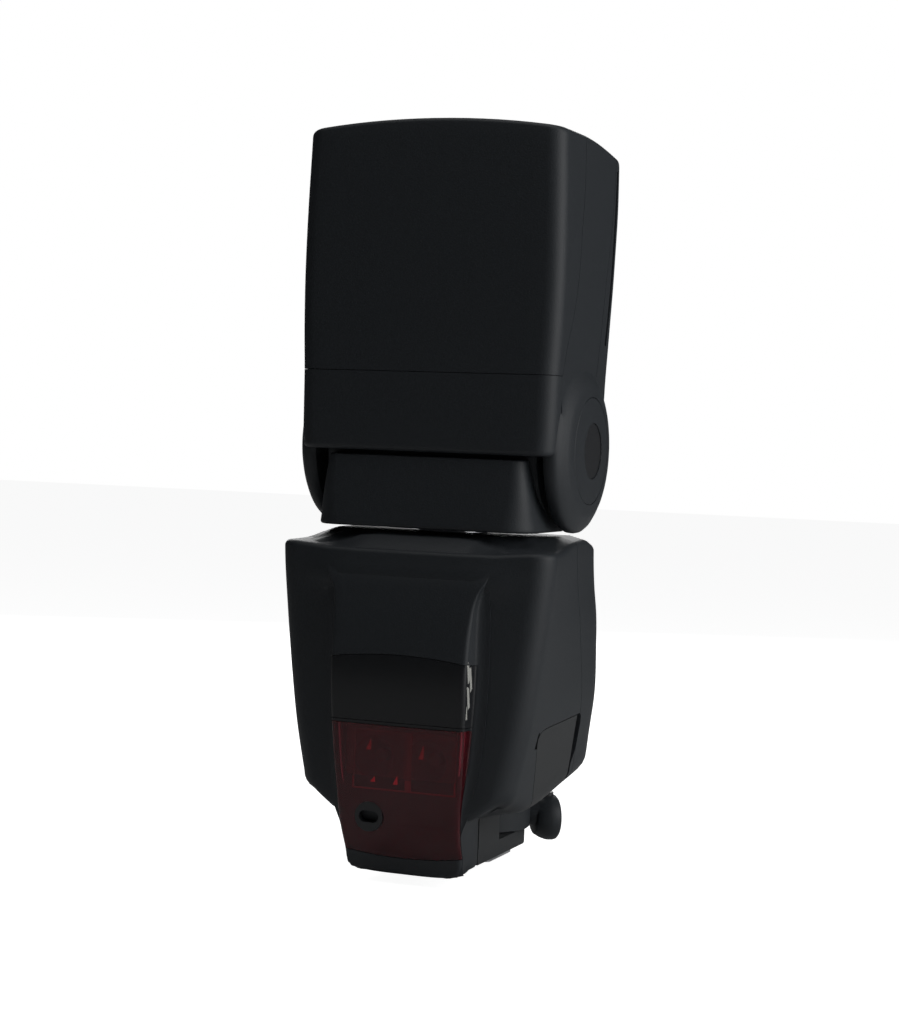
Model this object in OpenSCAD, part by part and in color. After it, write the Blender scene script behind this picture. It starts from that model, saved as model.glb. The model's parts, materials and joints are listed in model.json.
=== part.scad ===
// Hot-shoe speedlight flash: body on a shoe foot, swivelling neck, tilting zoom head.
// Frame: origin at the centre of the shoe plate's underside, Z up, -Y is the red lamp window side.
// Body parts are drawn with Y measured from the swivel axis; neck and head parts from the tilt axis.

/* [Swivel and tilt] */
// Distance of the swivel axis in front of the shoe centre, mm
axis_y = -21; // [-24:0.5:-16]
// Height of the tilt axis above the shoe underside, mm
axis_z = 112; // [108:0.5:116]
// Radius of the neck barrel about the tilt axis, mm
barrel_r = 19.2; // [17:0.1:20]
// Radius of the swivel shaft, mm
shaft_r = 9.2; // [8:0.1:9.3]
// Radial running clearance of turning parts, mm
run_gap = 0.05; // [0.02:0.01:0.1]

/* [Head] */
// Half width of the head at the cross seam, mm
head_hw = 34.8; // [33:0.1:36]
// Half width of the head at the lens end, mm
head_hw_top = 33.8; // [32:0.1:36]
// Y of the label face of the head, mm
head_front = -25; // [-26:0.1:-23]
// Height of the lens end corners above the tilt axis, mm
head_corner_z = 80.8; // [78:0.1:84]
// Height of the lens end crown above the tilt axis, mm
head_crown_z = 86; // [84:0.1:88]
// Height of the cross seam above the tilt axis, mm
seam_z = 18.6; // [16:0.1:22]
// Radius of the hinge ears, mm
ear_r = 21.4; // [20:0.1:22]
// Outermost face of the hinge ears from the centre plane, mm
ear_x = 38.2; // [37:0.1:39]
// Radius of the round hinge tabs, mm
tab_r = 13.8; // [12:0.1:15]
// Wall thickness of the head covers, mm
head_wall = 1.8; // [1.4:0.1:2.4]
// Travel of the zoom carriage, mm
zoom_travel = 17; // [10:0.5:18]

/* [Body] */
// Y of the wing faces on the window side, mm
body_front = -30.5; // [-32:0.1:-29]
// Y of the control panel face, mm
body_rear = 30.5; // [29:0.1:32]
// Wall thickness of the body cases, mm
wall = 2; // [1.6:0.1:2.6]
// Thickness of the front windows, mm
window_t = 1.5; // [1:0.1:2]
// Diameter of one AA cell, mm
cell_d = 14.2; // [14:0.1:14.5]
// Length of one AA cell, mm
cell_l = 50.2; // [49:0.1:50.5]

/* [Shoe foot] */
// Side of the shoe plate, mm
foot_w = 18.6; // [18:0.05:18.7]
// Thickness of the shoe plate, mm
foot_t = 2; // [1.9:0.05:2.1]
// Width of the web between plate and collar, mm
web_w = 12.4; // [12:0.1:12.6]
// Outer radius of the locking collar, mm
collar_r = 16.5; // [15:0.1:18]

/* [Hidden] */
$fn = 48;
big = 200;
e = 0.01;
// half widths of the body seen from the front: [height, half width]
wing = [[13.5, 14], [15.5, 18.5], [19, 22.6], [23, 26.4], [28.3, 28.6], [37.8, 30.9], [53.6, 33.2], [69.4, 35],
    [82, 36.3], [86, 36.3]];
// half widths of the centre column: [height, half width]
column = [[2, 11], [2.6, 13.6], [4.4, 15.3], [7, 16], [14, 16.3], [26, 17.3], [42, 18.2], [57, 18.5], [72, 19.4],
    [82, 21]];
// window side of the centre column: [Y, height]
column_face = [[-24, 2], [-26.4, 4], [-27.8, 7], [-31, 14], [-33, 26], [-34.9, 42], [-35.8, 55], [-35, 64],
    [-33, 74], [-30.7, 82]];
// side view of the body: [Y, height, inset direction Y, inset direction height]
body_side = [[body_front, 84.2, 1, -1], [-27, 85.4, 0.4, -1], [-24.5, 89.5, 0.4, -1], [15, 89.5, -0.2, -1],
    [24, 87, -0.4, -1], [body_rear, 84.4, -1, -1], [body_rear, 36, -1, 0.3], [27, 26.5, -0.9, 0.8],
    [19, 22, -0.3, 1], [7, 19.8, 0, 1], [-7, 16.4, 0, 1], [-20, 14, 0, 1], [body_front, 14, 1, 1]];
// parting line between the front and rear cases: [Y, height]
parting = [[-1, 95], [-0.5, 86], [4, 68], [9.2, 46], [10.5, 30], [12, 5]];
// parting lines of the head seen from the side: [Y, height]
cover_line = [[-18.9, seam_z], [-16.6, 26.5], [-13.5, 33.7], [-10.7, 43.5], [-9, 56.6], [-7, 70], [-6.2, 95]];
strip_line = [[21.5, 95], [19.8, 77], [16.9, 61], [12.1, 42], [10.2, 27], [8.2, 19.5], [5, 14.2]];
// outline of the rubber cover: [Y, height]
cover_outline = [[-18.3, 37.6], [-16.6, 40], [-14.5, 40.9], [7.6, 42.4], [7.6, 22.6], [-8.6, 18.8], [-11.4, 18.8]];
// its opening, with the finger slot at the rear edge
cover_hole = [[-18.4, 37.6], [-16.7, 40.1], [-14.5, 41], [11, 42.7], [11, 31], [8.6, 28], [8.6, 22.6], [-8.5, 18.6],
    [-11.5, 18.6]];
button_x = [-16.5, -5.5, 5.5, 16.5];
latch_z = 78;
door_y0 = -8;
door_y1 = 18;
door_z0 = 50.5;
door_z1 = 80.5;
cage_y = 4.6;
cage_z = 66;

function flip(p) = [for (i = [len(p) - 1:-1:0]) [-p[i][0], p[i][1]]];
function rev(p) = [for (i = [len(p) - 1:-1:0]) p[i]];

// frames
module at_axis() translate([0, axis_y, 0]) children();
module at_hinge() translate([0, axis_y, axis_z]) children();
// stands a 2-D outline drawn as [X, height] up along Y
module front_view(y0, y1) translate([0, y1, 0]) rotate([90, 0, 0]) linear_extrude(y1 - y0) children();
// stands a 2-D outline drawn as [Y, height] up along X
module side_view(x0, x1) translate([x0, 0, 0]) rotate([90, 0, 90]) linear_extrude(x1 - x0) children();
module along_x(r, x0, x1) translate([x0, 0, 0]) rotate([0, 90, 0]) cylinder(h = x1 - x0, r = r);
module along_y(r, y0, y1) translate([0, y1, 0]) rotate([90, 0, 0]) cylinder(h = y1 - y0, r = r);
module box(x0, x1, y0, y1, z0, z1) translate([x0, y0, z0]) cube([x1 - x0, y1 - y0, z1 - z0]);
// rectangle from x0, y0 to x1, y1 with radius a at the low Y corners and b at the high Y corners
module soft_rect(x0, x1, y0, y1, a, b) {
  translate([x0 + a, y0]) square([x1 - x0 - 2 * a, a]);
  translate([x0, y0 + a]) square([x1 - x0, y1 - y0 - a - b]);
  translate([x0 + b, y1 - b]) square([x1 - x0 - 2 * b, b]);
  for (x = [x0 + a, x1 - a]) translate([x, y0 + a]) circle(a);
  for (x = [x0 + b, x1 - b]) translate([x, y1 - b]) circle(b);
}
module soft_box(x0, x1, y0, y1, z0, z1, r) translate([0, 0, z0]) linear_extrude(z1 - z0)
  soft_rect(x0, x1, y0, y1, r, r);

// body volumes, inset by g
module body_blank(g) intersection() {
  front_view(-40, 40) polygon(concat([for (w = wing) [w[1] - g, w[0]]], [[29 - g, 90]],
    flip([for (w = wing) [w[1] - g, w[0]]]), []));
  side_view(-40, 40) polygon([for (p = body_side) [p[0] + g * p[2], p[1] + g * p[3]]]);
  translate([0, 0, 5]) linear_extrude(90)
    soft_rect(-36.3 + g, 36.3 - g, body_front + g, body_rear - g, 5 - g / 2, 13 - g / 2);
}
module column_blank(g) intersection() {
  front_view(-40, 0) polygon(concat([for (w = column) [w[1] - g, w[0] + (w[0] < 5 ? g : 0)]],
    flip([for (w = column) [w[1] - g, w[0] + (w[0] < 5 ? g : 0)]])));
  side_view(-40, 40) polygon(concat([for (p = column_face) [p[0] + g, p[1] + (p[1] < 5 ? g : 0)]],
    [[-12 - g, 82], [-12 - g, 15], [-13.5 - g, 2 + g]]));
}
// front outline of the centre column run back to the wing faces
module column_wide() front_view(-40, -20) polygon(concat([for (w = column) [w[1], w[0]]],
  flip([for (w = column) [w[1], w[0]]])));
module front_side(gap) side_view(-50, 50) polygon(concat([for (p = parting) [p[0] - gap, p[1]]],
  [[-60, 0], [-60, 95]]));
module window_zone(z0, z1) intersection() {
  box(-30, 30, -40, -27.6, z0, z1);
  column_wide();
  front_view(-40, -20) union() {
    translate([-30, 0]) square([60, 30]);
    translate([0, -60.8]) circle(r = 120);
  }
}
module cover_zone() side_view(20, 50) polygon(cover_outline);
module cover_opening() side_view(20, 50) polygon(cover_hole);
module door_pivot() translate([-31.2, 0, 49]) children();
// the door's pivot in the case wall: pin hole and room for the knuckles
module pivot_cut() {
  door_pivot() along_y(0.8, door_y0 - 3, door_y1 + 3);
  box(-36, -29.4, door_y0, door_y1, 46.9, 51);
}
module door_zone(grow) box(-50, -22, door_y0 - grow, door_y1 + grow, door_z0 - grow, door_z1 + grow);

module front_case() color("#15171a") at_axis() difference() {
  union() {
    intersection() {
      difference() {
        body_blank(0);
        body_blank(wall);
      }
      front_side(0);
    }
    difference() {
      column_blank(0);
      body_blank(wall);
    }
    box(-32.2, -30.2, door_y0 - 2.2, door_y0 - 0.2, 46, 52);
  }
  difference() {
    column_blank(window_t + 0.5);
    box(-30, 30, -40, 0, 60, 90);
    box(-30, 30, -22, 0, 0, 90);
  }
  window_zone(5.9, 59.6);
  translate([0, 0, 80]) cylinder(h = 20, r = shaft_r + run_gap);
  cover_opening();
  door_zone(0.1);
  pivot_cut();
}

module rear_case() color("#15171a") at_axis() difference() {
  union() {
    intersection() {
      difference() {
        body_blank(0);
        body_blank(wall);
      }
      difference() {
        box(-50, 50, -50, 50, 5, 95);
        front_side(0);
      }
    }
    box(-32.2, -30.2, door_y1 + 0.2, door_y1 + 2.2, 46, 52);
  }
  translate([0, 0, 80]) cylinder(h = 20, r = shaft_r + run_gap);
  cover_opening();
  door_zone(0.1);
  pivot_cut();
  box(-20.6, 20.6, 28, 31, 59.7, 80.3);
  for (x = button_x) box(x - 3.7, x + 3.7, 28, 31, 52.8, 56.2);
  translate([0, 0, 41]) along_y(10.2, 28, 31);
  translate([-18.6, 0, 41]) along_y(3.2, 28, 31);
  box(15.2, 22.2, 28, 31, 36.8, 45.2);
  for (x = [-7, 7], y = [14, 26]) translate([x, y, 10]) cylinder(h = 30, r = 1.2);
}

module smoked_window() color("#08090b") at_axis() intersection() {
  difference() {
    column_blank(0);
    column_blank(window_t);
  }
  window_zone(42.2, 59.6);
}
module assist_window() color("#3a060c") at_axis() difference() {
  intersection() {
    difference() {
      column_blank(0);
      column_blank(window_t);
    }
    window_zone(5.9, 41.9);
  }
  translate([-7.7, 0, 17.4]) along_y(3.8, -40, -20);
}
module assist_lamp_unit() color("#a01018") at_axis() {
  difference() {
    box(-15, 15, -30.8, -21, 24, 40.5);
    for (x = [-7.2, 7.2]) {
      translate([x, 0, 32.5]) rotate([-90, 0, 0]) translate([0, 0, -32]) cylinder(h = 9, r1 = 6, r2 = 2);
    }
  }
  for (x = [-7.2, 7.2]) translate([x, 0, 32.5]) along_y(1.6, -26, -23 + e);
  box(-12, 12, -21, -14, 30, 35);
}
module receiver_unit() color("#2a2d33") at_axis() {
  box(-14, 14, -31, -29.6, 45, 56);
  for (x = [-8, 8]) translate([x, 0, 50]) along_y(3, -33, -31);
  box(-5, 5, -29.6, -14, 48, 52);
}
module sensor_bezel() color("#5a5d60") at_axis() translate([-7.7, 0, 17.4]) difference() {
  along_y(3.8, -32.4, -24);
  front_view(-33, -25) union() {
    square([2.4, 3], center = true);
    for (x = [-1.2, 1.2]) translate([x, 0]) circle(1.5);
  }
}
module sensor_lens() color("#101418") at_axis() translate([-7.7, 0, 17.4]) front_view(-29.5, -25) union() {
  square([2.4, 3], center = true);
  for (x = [-1.2, 1.2]) translate([x, 0]) circle(1.5);
}
module main_board() color("#1f5a34") at_axis() difference() {
  union() {
    box(-29, 29, -14, -12.4, 44, 80);
    box(-20, -8, -12.4, -10.6, 50, 58);
    box(4, 22, -12.4, -10.6, 62, 70);
    for (i = [0:4]) box(-24 + 9 * i, -20 + 9 * i, -12.4, -11.2, 74, 77);
  }
  for (x = [-26, 26], z = [47, 77]) translate([x, 0, z]) along_y(1.1, -15, -12);
}
module main_capacitor() color("#26282c") at_axis() translate([0, 6, 34]) {
  along_x(9.5, -23, 17);
  along_x(8.9, -24, -23);
  for (y = [-3, 3]) translate([0, y, 0]) along_x(0.5, 17, 19.5);
}
module cell_place() for (y = [-1, 1], z = [-1, 1])
  translate([0, cage_y + y * (cell_d / 2 + 0.1), cage_z + z * (cell_d / 2 + 0.1)]) children();
module battery_cage() color("#1b1d20") at_axis() difference() {
  box(-29, 27.5, cage_y - 15.2, cage_y + 15.2, cage_z - 15.6, cage_z + 15.4);
  cell_place() along_x(cell_d / 2 + 0.05, -29.5, 25.8);
  box(-29.5, 25.8, cage_y - 5, cage_y + 5, cage_z - 5, cage_z + 5);
}
module battery_cells() color("#b8bcc0") at_axis() cell_place() {
  along_x(cell_d / 2, -25.4, -25.4 + cell_l - 1.2);
  along_x(2.7, -25.4 + cell_l - 1.2, -25.4 + cell_l);
}
module cage_contacts() color("#c9ccd0") at_axis() cell_place() box(24.8, 25.8, -4, 4, -4, 4);
module door_hinge_pin() color("#9a9da2") at_axis() door_pivot()
  along_y(0.8, door_y0 - 2.2, door_y1 + 2.2);
module terminal_block() color("#202226") at_axis() difference() {
  intersection() {
    box(21, 40, -9, 7, 20, 40);
    body_blank(wall + 0.6);
  }
  translate([0, -4.5, 33.5]) along_x(3.6, 20, 45);
  box(24.4, 45, 1.2, 5.2, 30, 37);
  translate([0, -3, 25.2]) along_x(3.4, 20, 45);
}
module pc_socket() color("#c0b070") at_axis() translate([0, -4.5, 33.5]) difference() {
  along_x(3.6, 21, 26.7);
  along_x(1.75, 23, 30);
}
module bracket_socket() color("#b0b3b8") at_axis() translate([0, -3, 25.2]) difference() {
  along_x(3.4, 17, 23);
  along_x(2.5, 18.5, 30);
}
module lcd_window() color("#3a403c") at_axis() soft_plate(-20.6, 20.6, 59.7, 80.3, 29.3, 30.3);
module soft_plate(x0, x1, z0, z1, y0, y1) front_view(y0, y1) soft_rect(x0, x1, z0, z1, 0.05, 0.05);
module lcd_module() color("#8a9a78") at_axis() {
  box(-19.5, 19.5, 26.2, 28.4, 61, 79);
  box(-18, 18, 24.8, 26.2, 62, 78);
}
module control_board() color("#1f5a34") at_axis() difference() {
  union() {
    box(-21, 21, 22.4, 23.8, 36, 80);
    for (x = button_x) box(x - 2.5, x + 2.5, 23.8, 26.4, 52.5, 56.5);
    translate([0, 0, 41]) along_y(6, 23.8, 24.4);
  }
  for (x = [-18.6, 18.6]) translate([x, 0, 77]) along_y(1.1, 22, 24);
}
module case_screws() color("#8d9094") at_axis() {
  for (x = [-7, 7], y = [14, 26]) translate([x, y, 17]) cylinder(h = 9, r = 1.2);
  for (x = [-4.6, 4.6]) translate([x, 21 - 6.2, 0.3]) cylinder(h = 8, r = 1);
}

// shoe foot
module foot_stem() color("#a9adb2") difference() {
  union() {
    box(-web_w / 2, web_w / 2, -8.5, 8.5, foot_t, 4);
    translate([0, 0, 4]) cylinder(h = 22, r = 12);
  }
  at_axis() body_blank(0);
  foot_holes(1.1);
  cylinder(h = 40, r = 2, center = true);
  translate([0, 5.6, 0]) cylinder(h = 40, r = 0.95);
  for (x = [-4.6, 4.6]) translate([x, -6.2, 0]) cylinder(h = 8.3, r = 1);
  for (x = [-7, 7], y = [-7, 5]) translate([x, y, 17]) cylinder(h = 40, r = 1.2);
}
module foot_holes(r) for (p = [[-4.6, -2.2], [4.6, -2.2], [-4.6, 2.6], [4.6, 2.6]])
  translate([p[0], p[1], -1]) cylinder(h = 7, r = r);
module foot_plate() color("#b4b8bd") difference() {
  soft_box(-foot_w / 2, foot_w / 2, -foot_w / 2, foot_w / 2, 0, foot_t, 1.2);
  foot_holes(1.1);
  translate([0, 0, -1]) cylinder(h = 5, r = 2);
  translate([0, 5.6, -1]) cylinder(h = 5, r = 0.95);
  for (x = [-4.6, 4.6]) translate([x, -6.2, -1]) cylinder(h = 5, r = 1);
}
module foot_contacts() color("#c8a850") {
  for (p = [[-4.6, -2.2], [4.6, -2.2], [-4.6, 2.6], [4.6, 2.6]]) translate([p[0], p[1], 0.05])
    cylinder(h = 5.5, r = 0.9);
  translate([0, 0, 0.05]) cylinder(h = 9, r = 1.7);
}
module foot_skirt() color("#1d1f22") difference() {
  union() {
    translate([0, 0, 4]) cylinder(h = 4.2, r = 15.4);
    soft_box(-15.2, 15.2, axis_y - 12, 0, 4, 8.2, 1);
    box(-15.2, 15.2, axis_y - 12, -18.2, 8.2, 20);
    intersection() {
      box(-14, 14, -18.5, -14, 8.2, 20);
      difference() {
        box(-20, 20, -30, 0, 8, 20);
        cylinder(h = 40, r = 17);
      }
    }
  }
  translate([0, 0, 3]) cylinder(h = 6, r = 12);
  at_axis() body_blank(0);
  at_axis() column_blank(0);
}
module lock_lever() color("#191b1e") difference() {
  union() {
    translate([0, 0, 8.4]) cylinder(h = 5.6, r = collar_r);
    rotate([0, 0, 36]) {
      translate([14, -6, 8.4]) cube([8, 12, 5.6]);
      translate([0, 0, 3.6]) linear_extrude(12.6) difference() {
        intersection() {
          circle(25);
          polygon([[0, 0], [40, -15], [40, 15]]);
        }
        circle(19);
      }
    }
  }
  translate([0, 0, 0]) cylinder(h = 30, r = 12 + run_gap);
  rotate([0, 0, 36]) translate([22, 0, 12]) cylinder(h = 10, r = 1.9);
}
module lock_release_button() color("#2a2c30") rotate([0, 0, 36]) translate([22, 0, 13.2])
  cylinder(h = 3.8, r = 1.8);
module lock_pin() color("#c9ccd0") translate([0, 5.6, 0.15]) {
  cylinder(h = 7, r = 0.9);
}

// neck
module neck_block() color("#15171a") at_hinge() difference() {
  intersection() {
    union() {
      along_x(barrel_r, -29.4, 29.4);
      side_view(-32, 32) polygon([[-23.6, -2.9], [-25.8, -21.3], [3.2, -21.3], [3.2, -10], [0, -2.9]]);
    }
    front_view(-30, 30) polygon([[-29.9, -21.3], [29.9, -21.3], [29.1, -19], [27.4, -2.9], [27.4, 25],
      [-27.4, 25], [-27.4, -2.9], [-29.1, -19]]);
    translate([0, 0, -21.3]) linear_extrude(60) soft_rect(-29.9, 29.9, -25.8, 22, 4, 6);
  }
  along_x(barrel_r - 2.6, -24.6, 24.6);
  translate([0, 0, -22]) cylinder(h = 12, r = shaft_r - 2);
  along_x(4.95, -30, 30);
}
module swivel_shaft() color("#8f9398") at_hinge() difference() {
  translate([0, 0, -27.6]) cylinder(h = 6.3, r = shaft_r);
  translate([0, 0, -28]) cylinder(h = 8, r = shaft_r - 2);
}
module swivel_retainer() color("#a4a8ad") at_hinge() difference() {
  translate([0, 0, -29.4]) cylinder(h = 1.8, r = 14);
  translate([0, 0, -30]) cylinder(h = 4, r = shaft_r - 2);
}
module trunnions() color("#a4a8ad") at_hinge() for (s = [-1, 1]) scale([s, 1, 1]) difference() {
  along_x(4.95, 22, 33);
  along_x(2.6, 21, 34);
}

// head volumes, inset by g
module head_blank(g) intersection() {
  front_view(-40, 40) intersection() {
    polygon([[-33.6 + g, -2 + g], [33.6 - g, -2 + g], [head_hw - g, seam_z], [head_hw_top - g, 90],
      [-head_hw_top + g, 90], [-head_hw + g, seam_z]]);
    translate([0, head_crown_z - g - 112]) circle(r = 112);
  }
  side_view(-40, 40) polygon([[head_front + g, 0.5], [head_front + g, 84 - g], [-20, 86.2 - g], [10, 86.2 - g],
    [20, 80.5 - g], [24.4 - g, 76.5 - g], [25 - g, 73 - g], [22.6 - g, 50], [20 - g, 30], [20 - g, -2],
    [-23 + g, -2]]);
  translate([0, 0, -10]) linear_extrude(110)
    soft_rect(-head_hw + g, head_hw - g, head_front + g, 25 - g, 4.5 - g / 2, 6 - g / 2);
}
module ear(s) scale([s, 1, 1]) {
  along_x(ear_r, 31.2, 35.4);
  translate([35.4, 0, 0]) rotate([0, 90, 0]) cylinder(h = 1.5, r1 = ear_r, r2 = 17.2);
}
module ears() for (s = [-1, 1]) ear(s);
module tabs() for (s = [-1, 1]) scale([s, 1, 1]) {
  along_x(tab_r, 36.9, 37.5);
  translate([37.5, 0, 0]) rotate([0, 90, 0]) cylinder(h = ear_x - 37.5, r1 = tab_r, r2 = tab_r - 4);
}
module top_cover_zone() side_view(-50, 50) polygon(concat(cover_line, [[-50, 95], [-50, seam_z]]));
module strip_zone() side_view(-50, 50) polygon(concat(strip_line, [[50, 14.2], [50, 95]]));
module lens_mouth() box(-30, 30, -22.9, 20.6, 70, 95);

module head_case() color("#15171a") at_hinge() difference() {
  union() {
    difference() {
      head_blank(0);
      head_blank(head_wall);
    }
    difference() {
      intersection() {
        head_blank(0.5);
        along_x(barrel_r + 2.6, -33, 33);
        box(-33, 33, -22, 19, 0, 30);
      }
      along_x(barrel_r + 0.9, -40, 40);
    }
    ears();
  }
  along_x(barrel_r + 0.9, -31.2, 31.2);
  box(-31.2, 31.2, -30, 30, -30, -1.5);
  box(-31.2, 31.2, 0, 22, -30, 6);
  difference() {
    box(-31.2, 31.2, -30, 0, -30, 0.2);
    box(-31.2, 31.2, -30, -24.4, -1.5, 0.2);
  }
  top_cover_zone();
  strip_zone();
  lens_mouth();
  along_x(4.95 + run_gap, -33.4, 33.4);
  for (s = [-1, 1]) scale([s, 1, 1]) along_x(12, 33.4, 35.2);
  along_x(7.27, 30, 45);
}
module head_top_cover() color("#15171a") at_hinge() difference() {
  intersection() {
    difference() {
      head_blank(0);
      head_blank(head_wall);
    }
    top_cover_zone();
  }
  lens_mouth();
}
module head_bottom_cover() color("#15171a") at_hinge() difference() {
  union() {
    intersection() {
      difference() {
        head_blank(0);
        head_blank(head_wall);
      }
      strip_zone();
    }
    tabs();
  }
  lens_mouth();
  ears();
  along_x(7.27, 30, 45);
  for (s = [-1, 1]) scale([s, 1, 1]) side_view(33.2, 40) polygon([[22.9, 74], [21.7, 74], [15.3, 28], [16.5, 28]]);
}
module fresnel_lens() color("#dfe6ea") at_hinge() intersection() {
  box(-29.6, 29.6, -18.6, 20.2, 78, 90);
  difference() {
    head_blank(2.8);
    head_blank(5.6);
  }
}
module head_frame() color("#25272b") at_hinge() difference() {
  union() {
    box(-32.8, 32.8, -20, 17.6, 22.6, 24.4);
    for (x = [-31.9, 26.4], z = [24.4, 74.6]) box(x, x + 5.5, -4, 4, z, z + 2.4);
    box(-31.9, -31, -4, 4, 24, 77);
    box(31, 31.9, -4, 4, 24, 77);
  }
  for (x = [-28.2, 28.2]) translate([x, 0, 20]) cylinder(h = 60, r = 1.2);
}
module guide_rods() color("#c9ccd0") at_hinge() for (x = [-28.2, 28.2]) translate([x, 0, 22.6])
  cylinder(h = 54, r = 1.2);
module at_screw() at_hinge() translate([-28.2, 9.4, 0]) children();
module zoom_motor() color("#9a9da2") at_screw() translate([0, 0, 24.4]) difference() {
  cylinder(h = 4.2, r = 3.4);
  translate([0, 0, 2]) cylinder(h = 5, r = 1.6);
}
module lead_screw() color("#c9ccd0") at_screw() translate([0, 0, 26.5]) cylinder(h = 26, r = 1.5);
module zoom_carriage() color("#303338") at_hinge() difference() {
  union() {
    box(-26, 26, -9, 15, 46.5, 50);
    for (x = [-28.2, 28.2]) translate([x, 0, 46.5]) cylinder(h = 6, r = 2.6);
    for (x = [-28.2, 25]) box(x, x + 3.2, -2, 2, 46.5, 50);
    translate([-28.2, 9.4, 46.5]) cylinder(h = 3.5, r = 2.6);
    box(-28.2, -25, 7.4, 11.4, 46.5, 50);
  }
  for (x = [-28.2, 28.2]) translate([x, 0, 40]) cylinder(h = 20, r = 1.2 + run_gap);
  translate([-28.2, 9.4, 40]) cylinder(h = 20, r = 1.5 + run_gap);
}
function bowl(t, n) = [for (i = [-n:n]) let (y = 14 * i / n) [y * (1 + t / 14), 50.4 + 0.108 * y * y - t]];
module reflector() color("#e8eaec") at_hinge() translate([0, 2, 0])
  side_view(-25, 25) polygon(concat(bowl(0.4, 8), rev(bowl(0, 8))));
module flash_tube() color("#f0f2f4") at_hinge() translate([0, 2, 54.2]) {
  along_x(1.9, -22, 22);
  for (s = [-1, 1]) scale([s, 1, 1]) along_x(1.2, 22, 26);
  for (x = [-24, 24]) box(x - 0.6, x + 0.6, -0.6, 0.6, -3.6, -1);
}
module release_button() color("#1b1d20") at_hinge() {
  along_x(7.1, 35.3, 37.6);
  along_x(3, 34.8, 35.3);
}
module wide_panel() color("#cfd6da") at_hinge() {
  box(-27, 27, -22.5, -21.3, 42, 81);
  box(-10, 10, -22.5, -21.3, 81, 82.4);
}
module catchlight_panel() color("#f2f2f0") at_hinge() {
  box(-26, 26, -20.7, -19.8, 44, 81);
  box(-8, 8, -20.7, -19.8, 81, 82.6);
}

// side doors
module terminal_cover() color("#1d1f22") at_axis() intersection() {
  difference() {
    body_blank(0);
    body_blank(wall);
  }
  cover_zone();
}
module battery_door() color("#15171a") at_axis() difference() {
  union() {
    intersection() {
      difference() {
        body_blank(0);
        body_blank(wall);
      }
      door_zone(-0.1);
    }
    door_pivot() along_y(1.6, door_y0 + 0.3, door_y0 + 6);
    door_pivot() along_y(1.6, door_y1 - 6, door_y1 - 0.3);
    for (y = [door_y0 + 0.3, door_y1 - 6]) box(-32.8, -31.3, y, y + 5.7, 49.4, 52);
  }
  door_pivot() along_y(0.8 + run_gap, door_y0 - 3, door_y1 + 3);
  box(-40, -20, 1, 9, 72.9, 78.1);
}
module door_contacts() color("#c9ccd0") at_axis() {
  intersection() {
    box(-40, -31.2, cage_y - 10, cage_y + 10, 56, 77);
    difference() {
      body_blank(wall);
      body_blank(wall + 0.8);
    }
  }
  difference() {
    cell_place() translate([-34, 0, 0]) rotate([0, 90, 0]) cylinder(h = 8.5, r1 = 3.6, r2 = 2.2);
    difference() {
      box(-50, 0, -30, 40, 40, 90);
      body_blank(wall + 0.8);
    }
  }
}
module door_latch() color("#24262a") at_axis() intersection() {
  difference() {
    body_blank(0.2);
    body_blank(wall - 0.2);
  }
  box(-40, -20, 1.1, 8.9, 75.6, 78);
}

// control panel
module panel_button(x) at_axis() front_view(26.4 + 0.7, 31) translate([x, 54.5])
  square([7.2, 3.2], center = true);
module light_button() color("#26292d") panel_button(button_x[0]);
module mode_button() color("#26292d") panel_button(button_x[1]);
module sync_button() color("#26292d") panel_button(button_x[2]);
module zoom_button() color("#26292d") panel_button(button_x[3]);
module select_dial() color("#26292d") at_axis() translate([0, 0, 41]) difference() {
  along_y(10.1, 28.2, 31.4);
  along_y(4.55, 27, 32);
  for (a = [0:30:330]) rotate([0, a, 0]) translate([0, 0, 10.4]) along_y(0.7, 27, 32);
}
module set_button() color("#34373c") at_axis() translate([0, 0, 41]) along_y(4.5, 27.2, 31);
module test_button() color("#7a2a10") at_axis() translate([-18.6, 0, 41]) along_y(3.1, 27.4, 31);
module power_switch() color("#34373c") at_axis() {
  box(15.4, 22, 28.6, 30.2, 37, 41.6);
  box(17.2, 20.2, 30.2, 31.4, 38, 40.6);
}

front_case();
rear_case();
smoked_window();
assist_window();
assist_lamp_unit();
receiver_unit();
sensor_bezel();
sensor_lens();
main_board();
main_capacitor();
battery_cage();
battery_cells();
cage_contacts();
door_hinge_pin();
terminal_block();
pc_socket();
bracket_socket();
lcd_window();
lcd_module();
control_board();
case_screws();
foot_stem();
foot_plate();
foot_contacts();
foot_skirt();
neck_block();
swivel_shaft();
swivel_retainer();
trunnions();
head_case();
head_top_cover();
head_bottom_cover();
fresnel_lens();
head_frame();
guide_rods();
zoom_motor();
zoom_carriage();
reflector();
flash_tube();
lead_screw();
release_button();
wide_panel();
catchlight_panel();
lock_lever();
lock_release_button();
lock_pin();
terminal_cover();
battery_door();
door_contacts();
door_latch();
light_button();
mode_button();
sync_button();
zoom_button();
select_dial();
set_button();
test_button();
power_switch();
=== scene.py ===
"""Looks of the speedlight flash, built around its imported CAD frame.

Lengths are in millimetres until a mesh is stored. Sockets, doors and keys take their places from the frame.
"""

import json
import math

import bmesh
import bpy
import numpy as np
from mathutils import Matrix, Vector


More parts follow.
